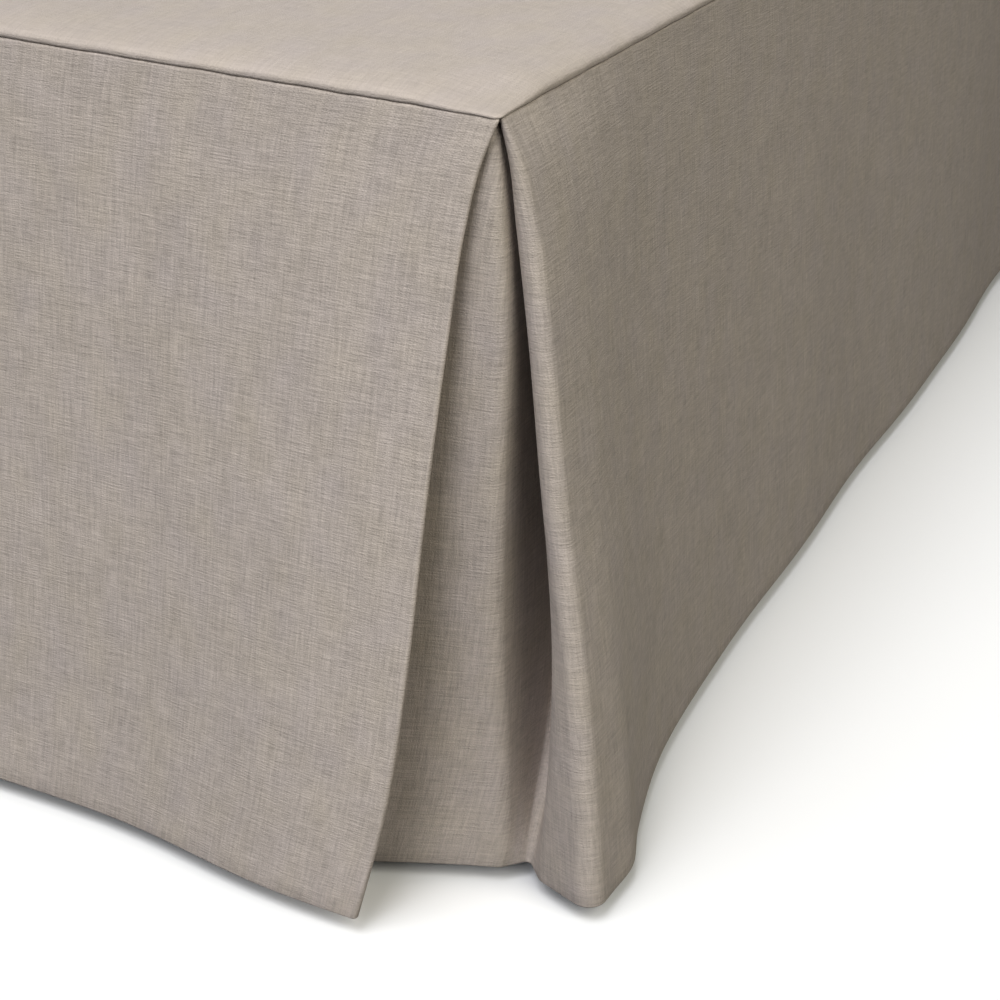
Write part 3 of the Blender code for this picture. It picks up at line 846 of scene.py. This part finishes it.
def side_drop(side_name, side, wave_start):
    """One side drop and its flat width. Side is 1 on the right and -1 on the left."""
    path = side_path(share_of_row, (wave_start, 1))
    run = side_run(path)
    hung = hang(path, PANEL_TUCK_SIDE, side_relief(path, run), side_turn_width(path))
    end_steps = HEAD_BEND_STEPS + HEAD_HEM_STEPS
    hem = with_head_hem(path)[:, :end_steps]
    outer = path[:, :1]
    mirror = 2 * (hem[..., 0] - outer[..., 0] + HEAD_FOLD)
    hem[..., 0] -= turned[:, None] * mirror + tuck[:, None]
    hung = np.concatenate([hem, hung], axis=1)
    inside = HEM_BEND * math.pi + np.linspace(HEAD_HEM, 0, HEAD_HEM_STEPS + 1)[:-1]
    bend = HEM_BEND * np.linspace(math.pi, 0, HEAD_BEND_STEPS + 1)[:-1]
    run = np.concatenate([run[:, :1] - np.concatenate([inside, bend]), run], axis=1)
    plan = np.stack([side * (SEAM_X + hung[..., 0]), FOOT_Y + hung[..., 1]], axis=2)
    piece = drop_piece(f"side_drop_{side_name}_cloth", plan, run, f"side_drop_{side_name}", side < 0)
    width = float(np.ptp(run.mean(axis=0)))
    print(piece.name, plan.shape[:2], "flat width", round(width, 3), "m")
    return piece, width


side_drop_right, side_width_right = side_drop("right", 1, RIGHT_WAVE_START)
side_drop_left, side_width_left = side_drop("left", -1, LEFT_WAVE_START)

# %% [markdown]
# ## The deck
#
# The deck lies flat on the base and rolls down over its edge to the seam. It is made of rings, each a
# rounded rectangle that is open at the head end: the outermost one is tucked in at the seam, the next
# ones climb the roll, and the rest shrink towards the middle, where one face closes the last strip. The
# roll is wider at the foot than at the sides, so a ring has an inset for each. A flat grid could be
# draped over the base instead, but rings keep their rows along the seam, where all the fine shape is.

# %% The deck
ROLL_FALL = 0.0065  # how far the deck's edge rolls down, to an upright strip
SIDE_ROLL, FOOT_ROLL = 0.022, 0.036  # and how far in the roll starts: it is softer at the foot
CORNER_SINK, CORNER_SINK_REACH = 0.65, 0.050
DECK_CORNER, DECK_CORNER_GROWTH, DECK_CORNER_MOST = 0.002, 4.4, 0.030
DECK_SIDE_COLUMNS, DECK_FOOT_COLUMNS, DECK_CORNER_STEPS = 130, 110, 14
STAND_ROWS, ROLL_ROWS, DECK_ROWS = 4, 20, 34
DECK_SPREAD = 2.4  # the flat's rings spread by this power
DECK_MIDDLE = 0.100  # half width of the middle strip
DECK_HEM_BEND = 0.0004
DECK_RISE_REACH = 0.006
DECK_TALL = DECK_TOP - SEAM_Z


def deck_profile(roll):
    """Inset and height of every ring along one edge, and how far in it lies on the flat cloth.

    The quarter circle of the turned edge comes first, then an upright strip, then the roll with
    inset roll (1 - cos a) and height fall sin a, and then the flat, whose rings spread inwards.
    """
    turned_edge = np.linspace(math.pi / 2, 0, TUCK_ROWS + 1)[:-1]
    roll_angle = np.linspace(0, math.pi / 2, ROLL_ROWS + 1)
    strip = np.linspace(LIP + TUCK, DECK_TALL - ROLL_FALL, STAND_ROWS + 1)[:-1]
    reach = SEAM_X - DECK_MIDDLE - roll
    flat = roll + reach * np.linspace(0, 1, DECK_ROWS + 1)[1:] ** DECK_SPREAD
    height = [
        LIP + TUCK * (1 - np.sin(turned_edge)),
        strip,
        DECK_TALL - ROLL_FALL * (1 - np.sin(roll_angle)),
        np.full(DECK_ROWS, DECK_TALL),
    ]
    inset = [TUCK * (1 - np.cos(turned_edge)), 0 * strip, roll * (1 - np.cos(roll_angle)), flat]
    height = np.concatenate(height) * (1 - LINEN_THICKNESS / 2 / DECK_TALL)
    inset = np.concatenate(inset) + LINEN_THICKNESS / 2
    step = np.hypot(np.diff(inset), np.diff(height))
    from_seam = np.concatenate([[0.0], np.cumsum(step)])
    top = TUCK_ROWS + STAND_ROWS + ROLL_ROWS
    on_cloth = from_seam - from_seam[top] + roll
    return inset, height, on_cloth


def corner_sink(x, y):
    """The share of its height over the seam that the deck keeps: less near a foot corner.

    It is 1 - sink (1 - (rho / reach)^2)^2 at a distance rho from the corner.
    """
    rho = np.hypot(SEAM_X - np.abs(x), y - FOOT_Y)
    near = 1 - np.minimum(rho / CORNER_SINK_REACH, 1) ** 2
    return 1 - CORNER_SINK * near**2


def ring(side_inset, foot_inset, radius):
    """A rounded rectangle, open at the head end, from the right side round the foot to the left."""
    t = np.linspace(1, 0, DECK_SIDE_COLUMNS + 1)[:-1]
    near = NEAR_SHARE * t + (1 - NEAR_SHARE) * t**3
    edge_x, edge_y = SEAM_X - side_inset, FOOT_Y + foot_inset
    start_y = edge_y + radius
    side = np.stack([np.full_like(near, edge_x), start_y + (HEAD_Y - start_y) * near], axis=1)
    quarter = np.linspace(0, math.pi / 2, DECK_CORNER_STEPS + 1)
    turn = np.stack(
        [edge_x - radius + radius * np.cos(quarter), start_y - radius * np.sin(quarter)], axis=1
    )
    t = np.linspace(0, 1, DECK_FOOT_COLUMNS + 1)[1:]
    near = NEAR_SHARE * t + (1 - NEAR_SHARE) * t**3
    foot = np.stack([(edge_x - radius) * (1 - near), np.full_like(near, edge_y)], axis=1)
    half = np.concatenate([side, turn, foot])
    return np.concatenate([half, half[-2::-1] * (-1, 1)])


def make_deck():
    """The rings from the seam inwards, with the head end's edge turned under, and the flat size."""
    inset, height, on_cloth = deck_profile(SIDE_ROLL)
    foot_inset, _, foot_cloth = deck_profile(FOOT_ROLL)
    radius = np.minimum(DECK_CORNER + DECK_CORNER_GROWTH * inset, DECK_CORNER_MOST)
    plan = np.stack([ring(*row) for row in zip(inset, foot_inset, radius)])
    cloth = np.stack([ring(*row) for row in zip(on_cloth, foot_cloth, radius)])
    rise = seam_rise(plan[..., 0], plan[..., 1]) * np.exp(-height / DECK_RISE_REACH)[:, None]
    z = SEAM_Z + height[:, None] * corner_sink(plan[..., 0], plan[..., 1]) + rise
    points = np.concatenate([plan, z[..., None]], axis=2)

    lean = np.arctan2(np.gradient(inset), np.gradient(height))  # 0 where upright, 90 degrees where flat
    half = np.linspace(math.pi, 0, HEAD_BEND_STEPS + 1)[:-1]
    inside = np.linspace(-HEAD_HEM, 0, HEAD_HEM_STEPS + 1)[:-1]
    down = DECK_HEM_BEND * np.concatenate([np.full_like(inside, 2.0), 1 - np.cos(half)])
    past = np.concatenate([inside, DECK_HEM_BEND * np.sin(half)])
    beyond = DECK_HEM_BEND * np.concatenate([math.pi - inside / DECK_HEM_BEND, half])
    hems = []
    for side in (1, -1):
        normal = np.stack([side * np.cos(lean), np.zeros_like(lean), np.sin(lean)], axis=1)
        end = points[:, 0 if side == 1 else -1]
        hem = end[:, None] - normal[:, None] * down[:, None] + past[:, None] * np.array((0, 1, 0))
        end = cloth[:, 0 if side == 1 else -1]
        hem_cloth = end[:, None] + beyond[:, None] * np.array((0, 1))
        hems.append((hem, hem_cloth) if side == 1 else (hem[:, ::-1], hem_cloth[:, ::-1]))
    points = np.concatenate([hems[0][0], points, hems[1][0]], axis=1)
    cloth = np.concatenate([hems[0][1], cloth, hems[1][1]], axis=1)

    rows, columns, _ = points.shape
    faces = grid_quads(rows, columns).tolist()
    hem_steps = len(down)
    first = (rows - 1) * columns + hem_steps
    faces.append(list(range(first, first + columns - 2 * hem_steps))[::-1])
    deck = new_piece("deck_cloth", points.reshape(-1, 3), faces, cloth.reshape(-1, 2))
    thicken(deck, LINEN_THICKNESS)
    deck.data.materials.append(deck_linen_painted_top_light)
    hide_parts("deck")
    flat = (2 * (SEAM_X - on_cloth[0]), SIDE_LENGTH - foot_cloth[0] + HEAD_HEM)
    print("deck:", (rows, columns), "flat", [round(side, 3) for side in flat])
    return deck, flat


deck, deck_flat = make_deck()

# %% [markdown]
# ## The base
#
# The base under the skirt shows only at the open head end and from below. It is a wooden box covered
# with pale upholstery cloth, with a welt where its side border meets the top and the underside. One
# profile is carried round a rounded rectangle.

# %% The base
WELT = 0.0025
WELT_FROM_EDGE = 0.034
BASE_ROLL = 0.030
BASE_CORNER, BASE_CORNER_LEAST = 0.070, 0.004
BASE_CROWN = 0.0012
FLAT_INSETS = (0.12, 0.04)  # of the two rings on the flat top and on the underside
BASE_STRAIGHT_STEPS, BASE_CORNER_STEPS = 24, 12
BASE_ROLL_STEPS, WELT_STEPS, BORDER_STEPS = 6, 8, 9


def rounded_loop(half_x, half_y, radius):
    """A closed rounded rectangle, anticlockwise from its right side."""
    straight = np.linspace(-1, 1, BASE_STRAIGHT_STEPS + 1)[:-1]
    quarter = np.linspace(0, math.pi / 2, BASE_CORNER_STEPS + 1)[:-1]
    inner = np.array((half_x - radius, half_y - radius))
    sides = []
    for k in range(4):
        turn = k * math.pi / 2
        along = inner[(k + 1) % 2] * straight
        out = inner[k % 2] + radius
        line = np.stack([np.full_like(along, out), along], axis=1)
        centre = np.array((inner[k % 2], inner[(k + 1) % 2]))
        arc = centre + radius * np.stack([np.cos(quarter), np.sin(quarter)], axis=1)
        corner_points = np.concatenate([line, arc])
        c, s = round(math.cos(turn)), round(math.sin(turn))
        sides.append(corner_points @ np.array(((c, s), (-s, c))))
    return np.concatenate(sides)


def base_profile():
    """Inset and height above the underside, from the underside's middle to the top's.

    Each edge is a quarter circle, each welt a half circle, and the border between them bulges by
    crown sin(pi u), with u from 0 at the lower welt to 1 at the upper one.
    """
    tall = base_high.z - base_low.z
    roll_angle = np.linspace(0, math.pi / 2, BASE_ROLL_STEPS + 1)
    bead = np.linspace(-math.pi / 2, math.pi / 2, WELT_STEPS + 1)
    inset = [*FLAT_INSETS, *(WELT + BASE_ROLL * (1 - np.sin(roll_angle)))]
    height = [0.0, 0.0, *(BASE_ROLL * (1 - np.cos(roll_angle)))]
    inset += list(WELT * (1 - np.cos(bead)))
    height += list(WELT_FROM_EDGE + WELT * np.sin(bead))
    up = np.linspace(0, 1, BORDER_STEPS + 1)[1:-1]
    inset += list(WELT - BASE_CROWN * np.sin(math.pi * up))
    height += list(WELT_FROM_EDGE + WELT + (tall - 2 * WELT_FROM_EDGE - 2 * WELT) * up)
    inset += list(WELT * (1 - np.cos(bead)))
    height += list(tall - WELT_FROM_EDGE + WELT * np.sin(bead))
    inset += [*(WELT + BASE_ROLL * (1 - np.cos(roll_angle))), *FLAT_INSETS[::-1]]
    height += [*(tall - BASE_ROLL * (1 - np.sin(roll_angle))), tall, tall]
    return np.array(inset), np.array(height)


def make_base():
    """The profile carried round the rounded rectangle, closed by one face below and one on top."""
    inset, height = base_profile()
    centre_y = (base_low.y + base_high.y) / 2
    half_x, half_y = base_high.x, (base_high.y - base_low.y) / 2
    radius = np.maximum(BASE_CORNER - inset, BASE_CORNER_LEAST)
    loops = [rounded_loop(half_x - i, half_y - i, r) for i, r in zip(inset, radius)]
    plan = np.stack(loops) + (0, centre_y)
    rows, columns, _ = plan.shape
    z = np.broadcast_to((base_low.z + height)[:, None, None], (rows, columns, 1))
    points = np.concatenate([plan, z], axis=2).reshape(-1, 3)
    base = new_piece("base_cover", points, closed_faces(rows, columns))
    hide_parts("base_box")
    print("base:", (rows, columns))
    return base


base = make_base()

# %% The base's cloth
TICKING_GRAINS, TICKING_PATCHES = 900.0, 14.0  # to the metre
TICKING_DARK, TICKING_LIGHT = (0.50, 0.47, 0.42, 1), (0.76, 0.73, 0.68, 1)
PATCH_SHARE = 0.3
FINE_RELIEF = 0.0002  # depth of the fine grain of the base's cloth and of the wood


def make_ticking():
    """A pale, close upholstery cloth: fine noise in three directions, and a slow unevenness."""
    ticking = new_material("ticking", 0.85)
    tree = ticking.node_tree
    place = add_node(tree, "ShaderNodeTexCoord").outputs["Object"]
    fine = solid_noise(tree, place, TICKING_GRAINS, 1.0)
    slow = solid_noise(tree, place, TICKING_PATCHES, 3.0)
    share = weighted_sum(tree, [(fine, 1 - PATCH_SHARE), (slow, PATCH_SHARE)])
    dress(ticking, mix_colours(tree, share, TICKING_DARK, TICKING_LIGHT), fine, 0.5, FINE_RELIEF)
    shader_of(ticking).inputs["Specular IOR Level"].default_value = 0.2
    return ticking


base.data.materials.append(make_ticking())

# %% [markdown]
# ## The legs
#
# Six turned and tapered legs carry the base. Each is a profile turned about its axis: a foot pad, a
# small bead above it, the taper, and a collar under the base.

# %% The legs
LEG_SEGMENTS = 64
LEG_EDGE_ANGLE = 50  # degrees; the profile's corners stay sharp past it
WOOD_GRAINS = (90.0, 90.0, 5.0)  # to the metre: long along the leg
WOOD_DARK, WOOD_LIGHT = (0.085, 0.042, 0.020, 1), (0.330, 0.200, 0.115, 1)
PORE_DEPTH = 0.35
PROFILE_SHARES = (  # share of the leg's height, share of its top radius
    (0.000, 0.52), (0.004, 0.58), (0.020, 0.60), (0.026, 0.66), (0.032, 0.70), (0.300, 0.775),
    (0.600, 0.865), (0.900, 0.955), (0.935, 0.965), (0.945, 0.94), (0.955, 0.94), (0.965, 0.985),
    (0.975, 1.00), (0.990, 1.00), (0.998, 0.98), (1.000, 0.95),
)  # fmt: skip


def make_wood():
    """Stained hardwood: a long, wavy figure less its fine dark pores."""
    wood = new_material("leg wood", 0.42)
    tree = wood.node_tree
    place = add_node(tree, "ShaderNodeTexCoord").outputs["Object"]
    sockets = {"Vector": place, "Scale": WOOD_GRAINS}
    long_grain = add_node(tree, "ShaderNodeMapping", sockets).outputs[0]
    figure = solid_noise(tree, long_grain, 1.0, 5.0, distortion=0.6)
    dark_pore = above(tree, solid_noise(tree, long_grain, 9.0, 1.0), 0.60, 0.72)
    lost = add_math(tree, "MULTIPLY", dark_pore, PORE_DEPTH)
    share = add_math(tree, "SUBTRACT", figure, lost, clamp=True)
    dress(wood, mix_colours(tree, share, WOOD_DARK, WOOD_LIGHT), share, 0.3, FINE_RELIEF)
    return wood


def make_leg(node, wood):
    """The profile turned about the leg's axis: x and y are radius times cosine and sine of the turn."""
    low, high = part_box(node)
    middle, tall, top_radius = (low + high) / 2, high.z - low.z, (high.x - low.x) / 2
    profile = np.array(PROFILE_SHARES)
    angle = np.linspace(0, 2 * math.pi, LEG_SEGMENTS + 1)[:-1]
    radius = profile[:, 1] * top_radius
    x = middle.x + radius[:, None] * np.cos(angle)
    y = middle.y + radius[:, None] * np.sin(angle)
    z = np.broadcast_to((low.z + profile[:, 0] * tall)[:, None], x.shape)
    points = np.stack([x, y, z], axis=2).reshape(-1, 3)
    leg = new_piece(node + "_turned", points, closed_faces(*x.shape))
    leg.data.set_sharp_from_angle(angle=math.radians(LEG_EDGE_ANGLE))
    leg.data.materials.append(wood)
    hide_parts(node)
    return leg


wood = make_wood()
legs = [make_leg(node, wood) for node in sorted(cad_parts) if node.startswith("leg_")]
print("legs:", len(legs))

# %% [markdown]
#
# Each sheet printed its flat width, seams left out, as it was made; the length of a drop is the drop
# itself and the turned-up hem.
# The end prints how far the new pieces reach beyond the solids.

# %% Sizes, and the end
visual_box = [list(corner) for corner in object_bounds()]
for axis, name in enumerate("xyz"):
    low, high = (visual_box[k][axis] - cad_box[k][axis] for k in (0, 1))
    print(name, "beyond the solids, mm:", round(-low / MM, 2), round(high / MM, 2))
